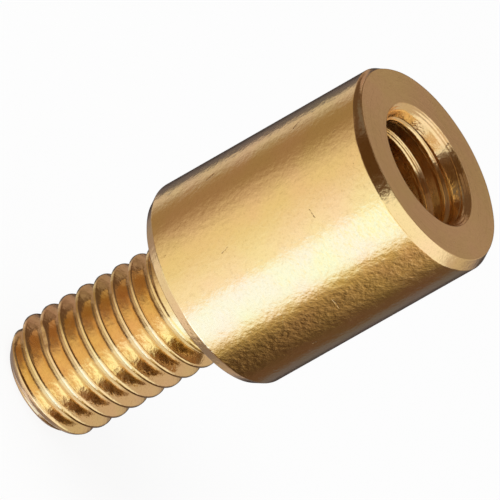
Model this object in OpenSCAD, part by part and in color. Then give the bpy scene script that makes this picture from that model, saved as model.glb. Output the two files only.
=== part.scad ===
// Round male-female threaded standoff, turned from brass bar in one piece.
// Its plain body has a threaded stud on one end and a tapped blind socket in the other.
// The origin is the centre of the shoulder that seats on a panel. +Z runs along the axis,
// through the body and out of the socket's mouth, and the stud points down -Z.
// Both threads are at their plain turned and drilled diameters here.

/* [Body] */
// Diameter of the bar
body_d = 10; // [9:0.1:16]
// Length from the shoulder to the socket's face
body_len = 12.2; // [8:0.1:40]

/* [Edge chamfers] */
// Width of both outer chamfers, measured inwards from the bar's surface
chamfer_w = 0.3; // [0.1:0.05:0.6]
// Height of both outer chamfers, measured along the axis
chamfer_h = 0.52; // [0.1:0.01:1]

/* [Thread] */
// Nominal diameter of both threads
thread_d = 6; // [4:0.1:7.2]
// Pitch of both threads
thread_pitch = 1; // [0.5:0.05:1.25]
// How far the stud's crests lie under the nominal diameter
crest_under = 0.1; // [0:0.01:0.25]
// How far the tapping hole is drilled over the thread's basic minor diameter
bore_over = 0.18; // [0:0.01:0.25]

/* [Stud] */
// Length of the stud, from the shoulder to its flat tip
stud_len = 9.7; // [4:0.05:30]
// How far the tip's flat lies inside the root of the thread, on the radius
tip_inset = 0.15; // [0.05:0.01:0.5]
// Angle between the tip's chamfer and the axis
tip_angle = 45; // [30:1:60]

/* [Socket] */
// Metal left between the point of the drilled hole and the shoulder
socket_floor = 1.65; // [1:0.05:3]
// How far the countersink's mouth is opened over the nominal thread diameter
mouth_over = 0.1; // [0:0.05:0.5]
// Included angle of the countersink
countersink_angle = 90; // [60:5:120]
// Included angle of the drill's point
drill_angle = 118; // [90:1:140]

/* [Hidden] */
$fn = 128;
root_factor = 1.2269; // root diameter of an outside thread: this many pitches under nominal
minor_factor = 1.0825; // minor diameter of an inside thread: this many pitches under nominal
overshoot = 0.5; // how far a cutting profile runs past the face that it opens

body_r = body_d / 2;
crest_r = (thread_d - crest_under) / 2;
tip_r = (thread_d - root_factor * thread_pitch) / 2 - tip_inset;
tip_h = (crest_r - tip_r) / tan(tip_angle);
bore_r = (thread_d - minor_factor * thread_pitch + bore_over) / 2;
mouth_r = (thread_d + mouth_over) / 2;
countersink_h = (mouth_r - bore_r) / tan(countersink_angle / 2);
countersink_slope = (mouth_r - bore_r) / countersink_h;
drill_point_h = bore_r / tan(drill_angle / 2);

// Half section of the turned blank, from the stud's tip up to the socket's face
module blank_section() {
    polygon([
        [0, -stud_len],
        [tip_r, -stud_len],
        [crest_r, -stud_len + tip_h],
        [crest_r, 0],
        [body_r - chamfer_w, 0],
        [body_r, chamfer_h],
        [body_r, body_len - chamfer_h],
        [body_r - chamfer_w, body_len],
        [0, body_len]
    ]);
}

// Half section of the tapping hole: drill point, bore, countersink and a run past the face
module socket_section() {
    polygon([
        [0, socket_floor],
        [bore_r, socket_floor + drill_point_h],
        [bore_r, body_len - countersink_h],
        [mouth_r + overshoot * countersink_slope, body_len + overshoot],
        [0, body_len + overshoot]
    ]);
}

module standoff() {
    color("goldenrod")
    difference() {
        rotate_extrude() blank_section();
        rotate_extrude() socket_section();
    }
}

standoff();
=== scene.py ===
import math
import bmesh
import bpy
import numpy as np
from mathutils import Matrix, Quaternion, Vector


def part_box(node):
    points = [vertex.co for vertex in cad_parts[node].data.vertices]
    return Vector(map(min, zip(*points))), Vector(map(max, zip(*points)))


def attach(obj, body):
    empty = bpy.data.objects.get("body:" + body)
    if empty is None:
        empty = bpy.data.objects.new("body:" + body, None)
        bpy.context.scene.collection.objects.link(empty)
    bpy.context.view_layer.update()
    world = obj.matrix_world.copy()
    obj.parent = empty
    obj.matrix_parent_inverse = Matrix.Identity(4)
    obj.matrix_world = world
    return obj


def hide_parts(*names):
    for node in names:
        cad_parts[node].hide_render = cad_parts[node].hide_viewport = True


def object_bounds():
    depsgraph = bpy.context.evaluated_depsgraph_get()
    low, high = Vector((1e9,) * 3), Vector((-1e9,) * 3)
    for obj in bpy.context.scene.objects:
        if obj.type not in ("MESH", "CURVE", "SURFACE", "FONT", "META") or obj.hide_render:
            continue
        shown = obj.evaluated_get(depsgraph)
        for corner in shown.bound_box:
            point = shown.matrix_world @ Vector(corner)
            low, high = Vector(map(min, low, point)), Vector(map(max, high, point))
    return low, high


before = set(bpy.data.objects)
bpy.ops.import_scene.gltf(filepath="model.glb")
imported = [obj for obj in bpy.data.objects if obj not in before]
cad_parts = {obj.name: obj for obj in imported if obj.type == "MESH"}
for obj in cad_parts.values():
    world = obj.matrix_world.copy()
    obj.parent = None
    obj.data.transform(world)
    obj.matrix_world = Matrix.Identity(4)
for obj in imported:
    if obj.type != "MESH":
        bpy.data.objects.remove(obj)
cadLow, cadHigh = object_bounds()
print("frame loaded:", sorted(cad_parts))

mm = 0.001                                    # one millimetre, in metres
columns = 140                                 # steps round the axis
closeGap = 0.002                              # mm, points nearer than this are merged
lowMm = np.array(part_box("standoff")[0]) / mm
highMm = np.array(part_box("standoff")[1]) / mm


def smoothLeast(a, b, reach):
    # the smaller of a and b, less a rounding of a quarter of reach where the two are equal
    near = np.maximum(reach - np.abs(a - b), 0) / reach
    return np.minimum(a, b) - near * near * reach / 4


def smoothMost(a, b, reach):
    # the larger of a and b, rounded in the same way
    return -smoothLeast(-a, -b, reach)


def ease(x):
    # 0 below 0, 1 above 1, and 3x^2 - 2x^3 between
    x = np.clip(x, 0, 1)
    return x * x * (3 - 2 * x)


def roundedPath(corners, radius, steps=4):
    # a path through (r, z) corners, where each inner corner is a curve from radius before it to
    # radius after it: (1-t)^2 * start + 2t(1-t) * corner + t^2 * end, with a row a little outside;
    # radius is one number, or one for each inner corner
    c = np.array(corners, float)
    radius = np.broadcast_to(radius, len(c) - 2)[:, None, None]
    before = c[:-2] - c[1:-1]
    after = c[2:] - c[1:-1]
    before /= np.linalg.norm(before, axis=1, keepdims=True)
    after /= np.linalg.norm(after, axis=1, keepdims=True)
    before, mid, after = before[:, None, :], c[1:-1][:, None, :], after[:, None, :]
    t = np.linspace(0, 1, steps + 1)[None, :, None]
    start, end = mid + before * radius, mid + after * radius
    curve = (1 - t) ** 2 * start + 2 * t * (1 - t) * mid + t ** 2 * end
    hold = radius * 2
    rows = np.concatenate([mid + before * hold, curve, mid + after * hold], axis=1)
    return np.concatenate([c[:1], rows.reshape(-1, 2), c[-1:]])


def gridFaces(across, up):
    # one face for each square of a grid of points: point, its right neighbour, and the two above them
    at = (np.arange(up)[:, None] * (across + 1) + np.arange(across)[None, :]).reshape(-1)
    return np.stack([at, at + 1, at + across + 2, at + across + 1], axis=1)


# Turns round the axis, from the -Y side towards +X
turn = np.linspace(-0.5, 0.5, columns + 1)[None, :]

# Both threads: lengths in mm, flanks in degrees, and crest heights on the -Y side
studThread = {
    "pitch": 1.0, "crest": 2.95, "depth": 0.60, "crestFlat": 0.15, "firstCrest": -0.21,
    "upperFlank": 60.5, "lowerFlank": 70, "hollow": 0.45,
    "crestLean": 0.06, "leanTall": 0.2, "crestEase": 0.08,
    "rootLean": 0.17, "rootEase": 0.11,
    "tip": 2.2366, "tipEase": 0.5, "runOut": (-1.45, -0.62),
    "ding": {"turn": -0.108, "height": -7.32, "wide": 0.032, "deep": 0.10},
}
socketThread = {
    "pitch": 1.0, "crest": 2.549, "depth": 0.23, "crestRound": 0.22, "flank": 54, "rootEase": 0.04,
    "seam": 0.02, "seamPlace": 0.19, "seamWide": 0.018, "firstCrest": 11.66,
    "taper": 0.35, "taperTall": 1.0, "shallow": (0.7, 1.1), "ridgeEnd": (12.0, 11.65),
    "mouth": 3.05, "mouthEase": 0.03, "lip": 0.016, "lipPitch": 0.11, "lipTall": 0.20,
    "end": 3.9, "runOut": (4.9, 4.2),
}


def bothSides(half):
    # places from one groove's middle to the next, from the places on one side of the crest
    half = np.array(half)
    return np.concatenate([[-0.5], -half[::-1], [0.0], half])


# Where each thread's rows lie across one pitch, in pitches above the crest
rowPlaces = {
    "stud": np.array([
        -0.5, -0.44, -0.40, -0.37, -0.35, -0.335, -0.32, -0.30, -0.26, -0.19, -0.13, -0.11, -0.095,
        -0.08, -0.065, -0.05, -0.035, -0.02, 0.0, 0.02, 0.035, 0.05, 0.065, 0.08, 0.095, 0.11, 0.13,
        0.19, 0.27, 0.35, 0.38, 0.395, 0.41, 0.425, 0.44, 0.455, 0.475,
    ]),
    "socket": bothSides([
        0.03, 0.06, 0.09, 0.12, 0.15, 0.175, 0.19, 0.205, 0.22, 0.235, 0.26, 0.30, 0.33, 0.35, 0.37, 0.44,
    ]),
}


def helixRows(places, thread, low, high):
    # rows that climb one pitch each turn, held between low and high:
    # height = first crest + pitch * (whole pitches + place in the pitch + turn)
    p = thread["pitch"]
    first = math.floor((low - thread["firstCrest"]) / p) - 2
    last = math.ceil((high - thread["firstCrest"]) / p) + 2
    whole = np.arange(first, last + 1)[:, None] + places[None, :]
    return np.clip(thread["firstCrest"] + p * (whole.reshape(-1, 1) + turn), low, high)


def grooveShape(z, thread):
    # how far each point lies above its nearest crest, and the height of the groove that it lies in,
    # both from count = (height - first crest) / pitch - turn
    nudge = 1e-6                              # a groove's middle rounds alike on both sides of the seam
    count = (z - thread["firstCrest"]) / thread["pitch"] - turn + nudge
    above = (count - np.floor(count + 0.5)) * thread["pitch"]
    grooveHeight = thread["firstCrest"] + (np.floor(count) + 0.5 + turn) * thread["pitch"]
    return above, grooveHeight


def studRadius(z):
    # the crest's radius, rounded into the 45 degree cone at the tip, less the groove's depth at this
    # distance from the crest, tan(flank) * distance, which is hollow * distance^2 less on the upper
    # flank, but no deeper than the root; the root slopes by rootLean and the crest by crestLean times
    # the distance; then one crest is bruised, lowered by deep * exp(-((turn - place) / wide)^4)
    t = studThread
    above, grooveHeight = grooveShape(z, t)
    start, end = t["runOut"]
    left = ease((end - grooveHeight) / (end - start))
    cone = t["tip"] + (z - lowMm[2])
    blank = np.minimum(smoothLeast(cone, t["crest"], t["tipEase"]), t["crest"])
    slope = np.tan(np.radians(np.where(above > 0, t["upperFlank"], t["lowerFlank"])))
    away = np.abs(above) - t["crestFlat"] / 2
    flank = t["crest"] - away * slope + t["hollow"] * np.where(above > 0, away, 0) ** 2
    root = t["depth"] + t["rootLean"] * (above - np.sign(above) * t["pitch"] / 2)
    r = smoothMost(flank, t["crest"] - root * left, t["rootEase"])
    d = t["ding"]
    onCrest = np.abs(z - d["height"]) < t["pitch"] / 2
    bruise = d["deep"] * np.exp(-((turn - d["turn"]) / d["wide"]) ** 4) * onCrest
    lean = t["crestLean"] * np.clip(above + t["crestFlat"] / 2, 0, t["leanTall"])
    r = smoothLeast(r, blank - bruise - lean, t["crestEase"])
    return np.minimum(r, blank)


def socketRadius(z):
    # the crest's radius plus the groove's depth: a round crest, round - sqrt(round^2 - distance^2),
    # that runs on into straight flanks down to the root; near the mouth the root opens out by
    # taper * height and the ridge fades into it; a thin seam, seam * exp(-((distance - place) /
    # wide)^2), lies beside the crest; at the mouth the countersink's 45 degree cone takes over, with
    # tool rings of lip * sin(2 pi * below / lip pitch) * exp(-(below / lip tall)^2)
    t = socketThread
    above, grooveHeight = grooveShape(z, t)
    away = np.abs(above)
    start, end = t["runOut"]
    left = ease((grooveHeight - end) / (start - end))
    angle = math.radians(t["flank"])
    reach = t["crestRound"] * math.sin(angle)
    crest = t["crestRound"] - np.sqrt(np.maximum(t["crestRound"] ** 2 - away ** 2, 0))
    flank = t["crestRound"] * (1 - math.cos(angle)) + (away - reach) * math.tan(angle)
    below = highMm[2] - z
    none, full = t["shallow"]
    root = t["depth"] * ease((below - none) / (full - none))
    root = root + t["taper"] * np.clip(t["taperTall"] - below, 0, None)
    groove = smoothLeast(np.where(away < reach, crest, flank), root, t["rootEase"])
    top, whole = t["ridgeEnd"]
    groove = root + (groove - root) * ease((top - (z - above)) / (top - whole))
    seam = t["seam"] * np.exp(-((away - t["seamPlace"]) / t["seamWide"]) ** 2)
    rings = t["lip"] * np.sin(2 * math.pi * below / t["lipPitch"]) * np.exp(-(below / t["lipTall"]) ** 2)
    r = smoothMost(t["crest"] + (groove + seam) * left, t["mouth"] - below, t["mouthEase"]) + rings
    return np.clip(r, t["crest"], t["mouth"])


# The turned body: lengths in mm, and places round it in turns
body = {
    "radius": 4.995, "chamferWide": 0.295, "chamferTall": 0.52, "edges": (0.05, 0.05, 0.04, 0.03),
    "barrelRows": (4.0, 8.0), "tipRows": (0.9, 1.7), "tipEdge": 0.02, "join": 0.03,
    "drillPoint": 1.65, "drillRise": 1.5315, "drillEdge": 0.03,
    "handWork": 0.012, "handFade": 0.25, "nearBarrel": 0.1,
    "innerWaves": (3, 7, 13), "innerPhase": 0.13, "outerWaves": (4, 9, 17), "outerPhase": 0.37,
    "slim": 0.5, "slimTurn": -0.19, "slimWide": 0.085,
    # the next depth is how far below the mouth the socket's roots go on darkening: painted shade with
    # some tarnished brass
    "tarnishShadeTall": 2.0, "rootShare": (2 / 3, 1.0),
}


def wobble(waves, phase):
    # the mean of sine waves round the turn, sin(2 pi * n * (turn + phase)), each with n whole periods
    return sum(np.sin(2 * math.pi * (n * turn + phase * n)) / len(waves) for n in waves)


def handChamfer(r, z):
    # both chamfers' edges waver, the inner one in radius by handWork * wobble and the outer one in
    # height by twice that, each fading out evenly over handFade; on one side of the socket's face
    # the chamfer is also cut smaller, by the share slim * exp(-((turn - place) / wide)^2)
    b = body
    inner = b["radius"] - b["chamferWide"]
    wide = wobble(b["innerWaves"], b["innerPhase"])
    high = wobble(b["outerWaves"], b["outerPhase"])
    nearInner = np.clip(1 - np.abs(r - inner) / b["handFade"], 0, 1)
    fromEnd = np.minimum(z, highMm[2] - z)
    nearOuter = np.clip(1 - np.abs(fromEnd - b["chamferTall"]) / b["handFade"], 0, 1)
    nearOuter = nearOuter * (r > inner + b["nearBarrel"])
    slim = b["slim"] * np.exp(-((turn - b["slimTurn"]) / b["slimWide"]) ** 2) * (z > highMm[2] / 2)
    r = r + (b["handWork"] * wide + b["chamferWide"] * slim) * nearInner
    z = z + (2 * b["handWork"] * high + b["chamferTall"] * slim) * nearOuter
    return np.minimum(r, b["radius"]), np.clip(z, 0, highMm[2])


def standoffGrid():
    # every row of the turned piece from the tip's centre, out over the stud, shoulder, barrel and
    # face, and down the socket to the drill point, as radius and height for each step of the turn;
    # groove is the depth below the stud's crests over the whole depth, and inside goes from 0 at the
    # socket's mouth to 1 at the body's darkening depth below it, in the roots only, and is 1 on the
    # plain bore under the thread and on the drill point; the brass darkens by both, as painted shade
    # with some tarnished brass
    b, s, k = body, studThread, socketThread
    tipPlaces = (0, *b["tipRows"], s["tip"] - b["tipEdge"])
    tip = roundedPath([(place, lowMm[2]) for place in tipPlaces], b["tipEdge"], 1)
    stud = helixRows(rowPlaces["stud"], s, lowMm[2], 0)
    outer = roundedPath([
        (s["crest"] + b["join"], 0), (b["radius"] - b["chamferWide"], 0),
        (b["radius"], b["chamferTall"]), (b["radius"], highMm[2] - b["chamferTall"]),
        (b["radius"] - b["chamferWide"], highMm[2]), (k["mouth"] + b["join"], highMm[2]),
    ], b["edges"])
    middle = [[b["radius"], height] for height in b["barrelRows"]]
    outer = np.insert(outer, len(outer) // 2, middle, axis=0)
    socket = helixRows(rowPlaces["socket"], k, k["end"], highMm[2])[::-1]
    drillTop = b["drillPoint"] + b["drillRise"]
    bottom = roundedPath([
        (k["crest"], k["end"] - b["tipEdge"]), (k["crest"], drillTop), (0, b["drillPoint"]),
    ], b["drillEdge"])
    wide = np.ones_like(turn)
    outerR, outerZ = handChamfer(outer[:, :1] * wide, outer[:, 1:] * wide)
    r = [tip[:, :1] * wide, studRadius(stud), outerR, socketRadius(socket), bottom[:, :1] * wide]
    z = [tip[:, 1:] * wide, stud, outerZ, socket, bottom[:, 1:] * wide]
    none = [np.zeros_like(part) for part in r]
    shallow, deep = b["rootShare"]
    inRoot = ease(((r[3] - k["crest"]) / k["depth"] - shallow) / (deep - shallow))
    # the socket's roots darken deeper down: painted shade with some tarnished brass
    socketRoot = np.clip((highMm[2] - z[3]) / b["tarnishShadeTall"], 0, 1) * inRoot
    groove = [none[0], (s["crest"] - r[1]) / s["depth"], none[2], none[3], none[4]]
    inside = [none[0], none[1], none[2], socketRoot, none[4] + 1]
    return (np.concatenate(part) for part in (r, z, groove, inside))


def makeStandoff():
    # x = r * sin(turn), y = -r * cos(turn): one face for each square of the grid, with the seam and
    # both poles closed by merging what falls together
    r, z, groove, inside = standoffGrid()
    angle = turn * 2 * math.pi
    points = np.stack([r * np.sin(angle), -r * np.cos(angle), z], axis=-1).reshape(-1, 3) * mm
    mesh = bpy.data.meshes.new("turnedStandoff")
    mesh.from_pydata(points, [], gridFaces(columns, r.shape[0] - 1).tolist())
    for name, values in (("groove", groove), ("inside", inside)):
        layer = mesh.attributes.new(name, "FLOAT", "POINT")
        layer.data.foreach_set("value", values.reshape(-1).astype(np.float32))
    bm = bmesh.new()
    bm.from_mesh(mesh)
    bmesh.ops.remove_doubles(bm, verts=bm.verts, dist=closeGap * mm)
    bmesh.ops.dissolve_degenerate(bm, edges=bm.edges, dist=1e-7)
    bmesh.ops.recalc_face_normals(bm, faces=bm.faces)
    openEdges = sum(1 for e in bm.edges if len(e.link_faces) != 2)
    volume = bm.calc_volume() / mm ** 3
    print("standoff: faces", len(bm.faces), "open edges", openEdges, "volume mm3", volume)
    bm.to_mesh(mesh)
    bm.free()
    mesh.shade_smooth()
    piece = bpy.data.objects.new("turnedStandoff", mesh)
    bpy.context.scene.collection.objects.link(piece)
    return piece


standoff = makeStandoff()
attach(standoff, "root")
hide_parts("standoff")


def addNode(tree, kind, inputs=None, **settings):
    # a node with these settings, where an input that is another node's output is linked to it and
    # any other input is a plain value
    node = tree.nodes.new(kind)
    for name, value in settings.items():
        setattr(node, name, value)
    for name, value in (inputs or {}).items():
        socket = node.inputs[name]
        if isinstance(value, bpy.types.NodeSocket):
            tree.links.new(value, socket)
        else:
            socket.default_value = value
    return node


# The brass: scales are per mm, heights are mm, and a pair is where a mask starts and is full
brassFinish = {
    "olive": (0.845, 0.615, 0.285, 1), "pink": (0.87, 0.585, 0.318, 1),
    "hueScale": 0.45, "hueFrom": (0.35, 0.65),
    "waveScale": 1.1, "waveTall": 0.016,      # slow waves left by handling
    "peelScale": 4.3, "peelTall": 0.014,      # ripples that give the mottled look
    "grainScale": 11.0, "grainTall": 0.003, "fineDetail": 3.0,
    "ringScale": 9.0, "ringTall": 0.004,      # facing marks on the flat ends, 5 times as fine as this
    "endTall": 0.02, "endRough": 0.06, "endCalm": 0.85,
    "markTall": 0.008, "markWander": 0.10, "markFrom": (0.35, 0.6), "markDirt": 0.9,
    "fleckScale": 7.7, "fleckFrom": (0.52, 0.80), "fleckDirt": 0.18,
    # the dark colour below is painted shade in the stud's roots and deep in the socket, over some
    # tarnished brass, and the colour of the flecks and handling marks
    "tarnishShadeColour": (0.40, 0.22, 0.08, 1), "grooveFrom": (0.86, 0.98), "grooveTarnishShade": 0.35,
    "socketTarnishShade": 0.10, "socketRough": 0.08, "dirtRough": 0.25,
    "smooth": 0.11, "rough": 0.19, "roughFrom": (0.3, 0.7),
}

# Handling marks on the barrel, each from one (arc from the -Y side, height) to another, and its
# half width, all in mm
handlingMarks = {
    "darkScratch": ((-5.26, 8.49), (-5.60, 8.83), 0.08),
    "darkNick": ((-5.09, 3.65), (-5.26, 4.00), 0.09),
    "hairlineLow": ((-1.12, 3.60), (-1.25, 3.97), 0.035),
    "hairlineAcross": ((-0.89, 8.37), (-0.45, 8.44), 0.035),
    "smallNick": ((-3.63, 10.66), (-3.70, 10.80), 0.04),
    "longHairline": ((3.34, 6.72), (3.94, 6.59), 0.04),
    "brightNick": ((5.24, 4.13), (5.28, 4.30), 0.08),
    "shoulderNick": ((-2.30, 0.82), (-2.36, 0.92), 0.05),
}


def markGroup():
    # mask that is 1 on a straight mark and 0 beyond its width: distance from Place to the nearest
    # point of the line From-To, which lies at the share dot(Place - From, To - From) / |To - From|^2
    group = bpy.data.node_groups.new("handlingMark", "ShaderNodeTree")
    for name in ("Place", "From", "To"):
        group.interface.new_socket(name=name, in_out="INPUT", socket_type="NodeSocketVector")
    group.interface.new_socket(name="Wide", in_out="INPUT", socket_type="NodeSocketFloat")
    group.interface.new_socket(name="Mask", in_out="OUTPUT", socket_type="NodeSocketFloat")
    source = addNode(group, "NodeGroupInput").outputs
    along = addNode(group, "ShaderNodeVectorMath", {0: source["To"], 1: source["From"]},
                    operation="SUBTRACT")
    away = addNode(group, "ShaderNodeVectorMath", {0: source["Place"], 1: source["From"]},
                   operation="SUBTRACT")
    over = addNode(group, "ShaderNodeVectorMath", {0: away.outputs[0], 1: along.outputs[0]},
                   operation="DOT_PRODUCT")
    whole = addNode(group, "ShaderNodeVectorMath", {0: along.outputs[0], 1: along.outputs[0]},
                    operation="DOT_PRODUCT")
    share = addNode(group, "ShaderNodeMath", {0: over.outputs["Value"], 1: whole.outputs["Value"]},
                    operation="DIVIDE", use_clamp=True)
    foot = addNode(group, "ShaderNodeVectorMath", {0: along.outputs[0], "Scale": share.outputs[0]},
                   operation="SCALE")
    gap = addNode(group, "ShaderNodeVectorMath", {0: away.outputs[0], 1: foot.outputs[0]},
                  operation="DISTANCE")
    mask = addNode(group, "ShaderNodeMapRange", {
        "Value": gap.outputs["Value"], "From Min": source["Wide"], "From Max": 0.0,
    }, interpolation_type="SMOOTHSTEP")
    target = addNode(group, "NodeGroupOutput")
    group.links.new(mask.outputs[0], target.inputs["Mask"])
    return group


def brassMaterial():
    # one brass all over: its colour crosses from olive to pink with a slow noise and towards a dark
    # tarnished colour by the largest of four masks, which is painted shade with some tarnished brass in
    # the stud's roots and deeper in the socket, and the real flecks and handling marks; its roughness
    # is smooth to rough by the ripples, plus endRough on the flat ends, dirtRough times that mask and
    # socketRough * inside; and its normal stacks the waves, ripples, grain, facing marks and handling
    # marks
    f = brassFinish
    material = bpy.data.materials.new("turnedBrass")
    material.use_nodes = True
    tree = material.node_tree
    tree.nodes.clear()

    def maths(kind, a, b=0.0):
        # one step of arithmetic on one or two values
        return addNode(tree, "ShaderNodeMath", {0: a, 1: b}, operation=kind).outputs[0]

    def noise(scale, detail=2.0):
        # soft noise with this many cells to the mm
        return addNode(tree, "ShaderNodeTexNoise", {
            "Vector": inMm, "Scale": scale, "Detail": detail,
        }).outputs["Fac"]

    def bump(height, tall, under=None, strength=1.0):
        # relief of this height in mm, over the relief under it
        more = {"Normal": under} if under else {}
        return addNode(tree, "ShaderNodeBump", {
            "Height": height, "Distance": tall * mm, "Strength": strength, **more,
        }).outputs[0]

    def between(value, low, high, toLow=0.0, toHigh=1.0):
        # toLow below low, toHigh above high, and a straight line from one to the other
        return addNode(tree, "ShaderNodeMapRange", {
            "Value": value, "From Min": low, "From Max": high, "To Min": toLow, "To Max": toHigh,
        }).outputs[0]

    place = addNode(tree, "ShaderNodeTexCoord").outputs["Object"]
    inMm = addNode(tree, "ShaderNodeVectorMath", {0: place, "Scale": 1 / mm},
                   operation="SCALE").outputs[0]
    axes = addNode(tree, "ShaderNodeSeparateXYZ", {0: inMm}).outputs
    radius = maths("SQRT", maths("ADD", maths("MULTIPLY", axes["X"], axes["X"]),
                                 maths("MULTIPLY", axes["Y"], axes["Y"])))
    angle = maths("ARCTAN2", axes["X"], maths("MULTIPLY", axes["Y"], -1.0))

    wave = noise(f["waveScale"])
    peel = noise(f["peelScale"])
    grain = noise(f["grainScale"], f["fineDetail"])
    rings = addNode(tree, "ShaderNodeTexNoise", {
        "W": maths("MULTIPLY", radius, f["ringScale"]), "Detail": f["fineDetail"],
    }, noise_dimensions="1D").outputs["Fac"]
    ends = maths("MAXIMUM", maths("GREATER_THAN", axes["Z"], highMm[2] - f["endTall"]),
                 maths("LESS_THAN", axes["Z"], lowMm[2] + f["endTall"]))

    # each mark's place is read on the barrel laid out flat, (arc, height, distance off the barrel)
    wander = maths("MULTIPLY", maths("SUBTRACT", peel, 0.5), f["markWander"])
    onBarrel = addNode(tree, "ShaderNodeCombineXYZ", {
        "X": maths("ADD", maths("MULTIPLY", angle, body["radius"]), wander),
        "Y": maths("ADD", axes["Z"], wander),
        "Z": maths("SUBTRACT", radius, body["radius"]),
    }).outputs[0]
    group = markGroup()
    marks = None
    for start, end, wide in handlingMarks.values():
        mark = addNode(tree, "ShaderNodeGroup", node_tree=group)
        tree.links.new(onBarrel, mark.inputs["Place"])
        mark.inputs["From"].default_value = (*start, 0)
        mark.inputs["To"].default_value = (*end, 0)
        mark.inputs["Wide"].default_value = wide
        marks = mark.outputs[0] if marks is None else maths("MAXIMUM", marks, mark.outputs[0])
    marks = maths("MULTIPLY", marks, between(grain, *f["markFrom"]))

    # the facing cut left the ends flatter than the barrel
    calm = maths("SUBTRACT", 1.0, maths("MULTIPLY", ends, f["endCalm"]))
    normal = bump(wave, f["waveTall"], None, calm)
    normal = bump(peel, f["peelTall"], normal, calm)
    normal = bump(grain, f["grainTall"], normal)
    normal = bump(maths("MULTIPLY", rings, ends), f["ringTall"], normal)
    normal = bump(marks, -f["markTall"], normal)

    groove = addNode(tree, "ShaderNodeAttribute", attribute_name="groove").outputs["Fac"]
    inside = addNode(tree, "ShaderNodeAttribute", attribute_name="inside").outputs["Fac"]
    # darker in the stud's thread roots: painted shade with some tarnished brass
    rootTarnishAndShade = maths("MULTIPLY", between(groove, *f["grooveFrom"]), f["grooveTarnishShade"])
    # darker deeper in the socket's roots and on the drill point: painted shade with some tarnished brass
    tarnishAndShade = maths("MAXIMUM", rootTarnishAndShade, maths("MULTIPLY", inside, f["socketTarnishShade"]))
    flecks = between(noise(f["fleckScale"]), *f["fleckFrom"])
    tarnishAndShade = maths("MAXIMUM", tarnishAndShade, maths("MULTIPLY", flecks, f["fleckDirt"]))
    tarnishAndShade = maths("MAXIMUM", tarnishAndShade, maths("MULTIPLY", marks, f["markDirt"]))
    hue = between(noise(f["hueScale"]), *f["hueFrom"])
    brass = addNode(tree, "ShaderNodeMix", {"Factor": hue}, data_type="RGBA")
    brass.inputs[6].default_value = f["olive"]     # 6 and 7 are the mix's two colours
    brass.inputs[7].default_value = f["pink"]
    # towards the dark colour: painted shade with some tarnished brass in the roots and the socket, and
    # real flecks and marks
    colour = addNode(tree, "ShaderNodeMix", {"Factor": tarnishAndShade}, data_type="RGBA")
    tree.links.new(brass.outputs[2], colour.inputs[6])
    colour.inputs[7].default_value = f["tarnishShadeColour"]
    rough = between(peel, *f["roughFrom"], f["smooth"], f["rough"])
    rough = maths("ADD", rough, maths("MULTIPLY", ends, f["endRough"]))
    rough = maths("ADD", rough, maths("MULTIPLY", tarnishAndShade, f["dirtRough"]))
    rough = maths("ADD", rough, maths("MULTIPLY", inside, f["socketRough"]))
    shader = addNode(tree, "ShaderNodeBsdfPrincipled", {
        "Base Color": colour.outputs[2], "Metallic": 1.0, "Roughness": rough, "Normal": normal,
    })
    addNode(tree, "ShaderNodeOutputMaterial", {"Surface": shader.outputs[0]})
    print("brass: nodes", len(tree.nodes), "marks", len(handlingMarks))
    return material


standoff.data.materials.append(brassMaterial())


# The light tent stands round the part and is seen only in its reflections: lengths in mm
tent = {"radius": 80.0, "centre": 2.0, "stepsRound": 360, "stepsUp": 180, "lining": (0.14, 0.088, 0.055)}

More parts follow.
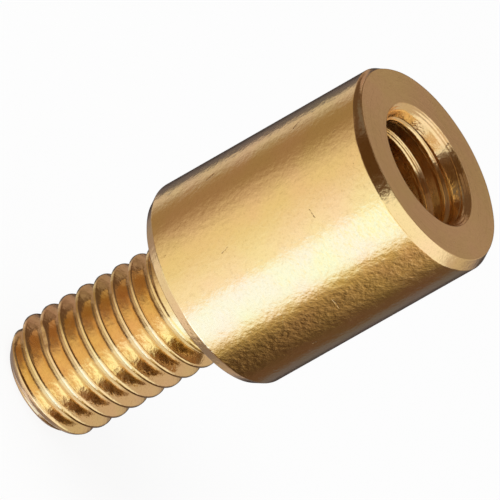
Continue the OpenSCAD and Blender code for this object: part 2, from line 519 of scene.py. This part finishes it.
# Each panel gives the azimuth where it starts and ends, from -Y towards +X, and the width of both
# soft edges, then the same for its elevation, all in degrees, and its colour. A later panel lies over
# the ones before it.
panels = {
    "brownLeft": (-118, -40, 8, 30, -95, 12, 1, 16, (0.38, 0.28, 0.17)),
    "greyBack": (128, 232, 8, 8, -95, 10, 1, 16, (0.16, 0.15, 0.16)),
    "darkBack": (150, 210, 6, 6, -95, 10, 1, 16, (0.07, 0.06, 0.06)),
    "paleStrip": (-139, -104, 10, 22, -95, 20, 1, 12, (0.72, 0.67, 0.60)),
    "oliveRight": (45, 83, 1, 31, -95, 4, 1, 16, (0.60, 0.52, 0.24)),
    "darkRight": (58, 118, 22, 16, -95, 4, 1, 16, (0.07, 0.045, 0.022)),
    "goldWash": (-90, 60, 46, 10, -95, 4, 1, 20, (0.97, 0.91, 0.70)),
    "brightFront": (-46, 60, 52, 10, -95, 4, 1, 20, (1.15, 1.24, 1.24)),
    "creamStrip": (2, 54, 20, 21, -95, 26, 1, 30, (1.16, 1.62, 2.45)),
    "mat": (-180.5, 181, 0.1, 0.1, -95, -36, 1, 8, (0.28, 0.25, 0.27)),
    "matBack": (152, 196, 8, 10, -95, -46, 1, 6, (0.85, 0.85, 0.92)),
    "matLeft": (-150, -60, 20, 20, -95, -36, 1, 8, (0.40, 0.34, 0.32)),
    "matFront": (-74, 64, 40, 8, -95, -36, 1, 8, (1.12, 1.20, 1.20)),
    "matGlow": (-6, 64, 32, 12, -53, -34, 9, 4, (1.75, 2.85, 4.80)),
    "matDark": (50, 104, 15, 14, -95, -33, 1, 5, (0.25, 0.17, 0.12)),
    "matSide": (110, 152, 10, 8, -60, -36, 6, 8, (0.45, 0.38, 0.33)),
    "under": (-128, 96, 32, 24, -95, -56, 1, 8, (0.92, 0.89, 0.90)),
    "oliveWall": (46, 118, 20, 34, -28.4, 10, 25, 10, (1.03, 0.80, 0.42)),
    "wallRight": (0, 128, 14, 36, -15, 76, 9, 18, (1.12, 1.20, 1.20)),
    "creamWall": (2, 56, 14, 16, -30, -8, 8, 10, (1.16, 1.60, 2.30)),
    "warmWall": (0, 50, 14, 16, -20, 14, 8, 6, (1.34, 1.48, 1.40)),
    "tanRight": (92, 168, 26, 14, -10, 64, 26, 14, (0.66, 0.58, 0.50)),
    "topRight": (18, 150, 20, 24, 56, 96, 16, 1, (0.84, 0.74, 0.60)),
    "goldPatch": (12, 58, 10, 10, 11, 26, 5, 5, (0.80, 0.62, 0.38)),
    "greyLeft": (-104, -44, 16, 16, 12, 34, 6, 6, (0.19, 0.165, 0.15)),
    "leftLow": (-76, -6, 12, 8, -12, 16, 14, 10, (0.38, 0.28, 0.20)),
    "leftHigh": (-112, -10, 20, 16, 40, 72, 12, 8, (0.27, 0.19, 0.13)),
    "coneLeft": (-174, -112, 12, 10, -8, 18, 8, 10, (0.44, 0.32, 0.26)),
    "darkTop": (-172, -4, 10, 8, 66, 96, 8, 1, (0.10, 0.06, 0.03)),
    "grooveLeft": (-66, -8, 12, 8, 12, 74, 5, 6, (0.10, 0.052, 0.02)),
    "coneFar": (-172, -138, 8, 6, 14, 34, 6, 8, (0.42, 0.32, 0.25)),
    "backPanel": (158, 202, 10, 10, 18, 60, 8, 10, (0.43, 0.35, 0.28)),
}


def tentColour(azimuth, elevation):
    # the lining's colour, crossed over to each panel's in turn by the product of its four eased edges:
    # colour + (panel - colour) * share
    colour = np.ones(azimuth.shape + (3,)) * np.array(tent["lining"])
    for start, end, riseWide, fallWide, low, high, lowWide, highWide, shade in panels.values():
        along = (azimuth - start) % 360
        share = ease(along / riseWide) * ease((end - start - along) / fallWide)
        share = share * ease((elevation - low) / lowWide) * ease((high - elevation) / highWide)
        colour = colour + (np.array(shade) - colour) * share[..., None]
    return colour


def makeTent():
    # direction (cos(elevation) * sin(azimuth), -cos(elevation) * cos(azimuth), sin(elevation)) times
    # the radius, from the centre of the tent, with the faces turned inwards
    t = tent
    azimuth, elevation = np.meshgrid(np.radians(np.linspace(-180, 180, t["stepsRound"] + 1)),
                                     np.radians(np.linspace(-90, 90, t["stepsUp"] + 1)))
    x = t["radius"] * np.cos(elevation) * np.sin(azimuth)
    y = -t["radius"] * np.cos(elevation) * np.cos(azimuth)
    z = t["radius"] * np.sin(elevation) + t["centre"]
    points = np.stack([x, y, z], axis=-1).reshape(-1, 3) * mm
    colour = tentColour(np.degrees(azimuth), np.degrees(elevation))
    colour = np.concatenate([colour, np.ones(azimuth.shape + (1,))], axis=-1)
    faces = gridFaces(t["stepsRound"], t["stepsUp"])[:, [0, 3, 2, 1]]
    mesh = bpy.data.meshes.new("lightTent")
    mesh.from_pydata(points, [], faces.tolist())
    layer = mesh.attributes.new("panel", "FLOAT_COLOR", "POINT")
    layer.data.foreach_set("color", colour.reshape(-1).astype(np.float32))
    piece = bpy.data.objects.new("lightTent", mesh)
    bpy.context.scene.collection.objects.link(piece)
    material = bpy.data.materials.new("tentGlow")
    material.use_nodes = True
    tree = material.node_tree
    tree.nodes.clear()
    shade = addNode(tree, "ShaderNodeAttribute", attribute_name="panel")
    glow = addNode(tree, "ShaderNodeEmission", {"Color": shade.outputs["Color"], "Strength": 1.0})
    addNode(tree, "ShaderNodeOutputMaterial", {"Surface": glow.outputs[0]})
    mesh.materials.append(material)
    piece.visible_camera = piece.visible_diffuse = piece.visible_transmission = False
    piece.visible_shadow = piece.visible_volume_scatter = False
    print("tent: panels", len(panels))
    return piece


def seenDirectly(tree):
    # 1 on camera, glossy and transmission rays, 0 on the rest
    path = addNode(tree, "ShaderNodeLightPath")
    either = addNode(tree, "ShaderNodeMath", {
        0: path.outputs["Is Camera Ray"], 1: path.outputs["Is Glossy Ray"],
    }, operation="MAXIMUM")
    return addNode(tree, "ShaderNodeMath", {
        0: either.outputs[0], 1: path.outputs["Is Transmission Ray"],
    }, operation="MAXIMUM").outputs[0]


# The floor, the lamp and the room: lengths in metres, power in watts
studio = {
    "floorWide": 0.6, "floorSteps": 8, "floorColour": (0.9, 0.9, 0.9, 1), "floorGlow": 0.90,
    "room": 0.55, "white": (1, 1, 1, 1),
    "lampWide": 0.20, "lampPlace": (-0.10, -0.05, 0.28), "lampPower": 0.45,
}


def makeFloor():
    # a flat square grid under the tip; seen directly it is matt * (1 - floorGlow) + white * floorGlow,
    # so that it keeps the part's shadow, and to other rays it is plain matt
    f = studio
    places = np.linspace(-f["floorWide"] / 2, f["floorWide"] / 2, f["floorSteps"] + 1)
    x, y = np.meshgrid(places, places)
    points = np.stack([x, y, np.full_like(x, cadLow[2])], axis=-1).reshape(-1, 3)
    mesh = bpy.data.meshes.new("paleFloor")
    mesh.from_pydata(points, [], gridFaces(f["floorSteps"], f["floorSteps"]).tolist())
    floor = bpy.data.objects.new("paleFloor", mesh)
    floor.visible_glossy = False              # the metal shows the tent's mat below it instead
    bpy.context.scene.collection.objects.link(floor)
    material = bpy.data.materials.new("paleFloor")
    material.use_nodes = True
    tree = material.node_tree
    tree.nodes.clear()
    matt = addNode(tree, "ShaderNodeBsdfDiffuse", {"Color": f["floorColour"]})
    glow = addNode(tree, "ShaderNodeEmission", {"Color": f["white"], "Strength": 1.0})
    share = addNode(tree, "ShaderNodeMath", {0: seenDirectly(tree), 1: f["floorGlow"]},
                    operation="MULTIPLY")
    mix = addNode(tree, "ShaderNodeMixShader", {
        0: share.outputs[0], 1: matt.outputs[0], 2: glow.outputs[0],
    })
    addNode(tree, "ShaderNodeOutputMaterial", {"Surface": mix.outputs[0]})
    mesh.materials.append(material)
    return floor


def makeLight():
    # one soft square lamp that faces the part, and a white room of strength
    # room + (1 - room) * seen directly
    f = studio
    lampData = bpy.data.lights.new("softLamp", "AREA")
    lampData.shape = "SQUARE"
    lampData.size = f["lampWide"]
    lampData.energy = f["lampPower"]
    lamp = bpy.data.objects.new("softLamp", lampData)
    lamp.location = f["lampPlace"]
    lamp.rotation_mode = "QUATERNION"
    lamp.rotation_quaternion = (-Vector(f["lampPlace"])).to_track_quat("-Z", "Y")
    lamp.visible_glossy = False
    bpy.context.scene.collection.objects.link(lamp)
    world = bpy.data.worlds.new("room")
    bpy.context.scene.world = world
    world.use_nodes = True
    tree = world.node_tree
    tree.nodes.clear()
    strength = addNode(tree, "ShaderNodeMapRange", {
        "Value": seenDirectly(tree), "To Min": f["room"], "To Max": 1.0,
    })
    back = addNode(tree, "ShaderNodeBackground", {"Color": f["white"], "Strength": strength.outputs[0]})
    addNode(tree, "ShaderNodeOutputWorld", {"Surface": back.outputs[0]})


def makeStudio():
    # the floor, with the lamp and the room; only the floor is a piece, so only it is handed back
    floor = makeFloor()
    makeLight()
    print("studio: floor, lamp and room")
    return floor


makeTent()
makeStudio()

# The camera: aim, lens, sensor and width of view in mm, and angles in degrees
view = {"aim": (-0.63, 0.0, 2.54), "elevation": 25.4, "roll": 60.34,
        "lens": 1500.0, "sensor": 36.0, "wide": 22.153}


def makeCamera():
    # stands on the -Y side, back from the aim by width of view * lens / sensor, and rolls
    tilt = math.radians(view["elevation"])
    back = Vector((0, -math.cos(tilt), math.sin(tilt)))
    data = bpy.data.cameras.new("camera")
    data.sensor_width = view["sensor"]
    data.lens = view["lens"]
    camera = bpy.data.objects.new("camera", data)
    camera.rotation_mode = "QUATERNION"
    away = view["wide"] * mm * data.lens / data.sensor_width
    camera.location = Vector(view["aim"]) * mm + back * away
    camera.rotation_quaternion = ((-back).to_track_quat("-Z", "Y")
                                  @ Quaternion((0, 0, 1), math.radians(view["roll"])))
    bpy.context.scene.collection.objects.link(camera)
    bpy.context.scene.camera = camera
    print("camera: set")


makeCamera()
bpy.context.scene.view_settings.view_transform = "Standard"
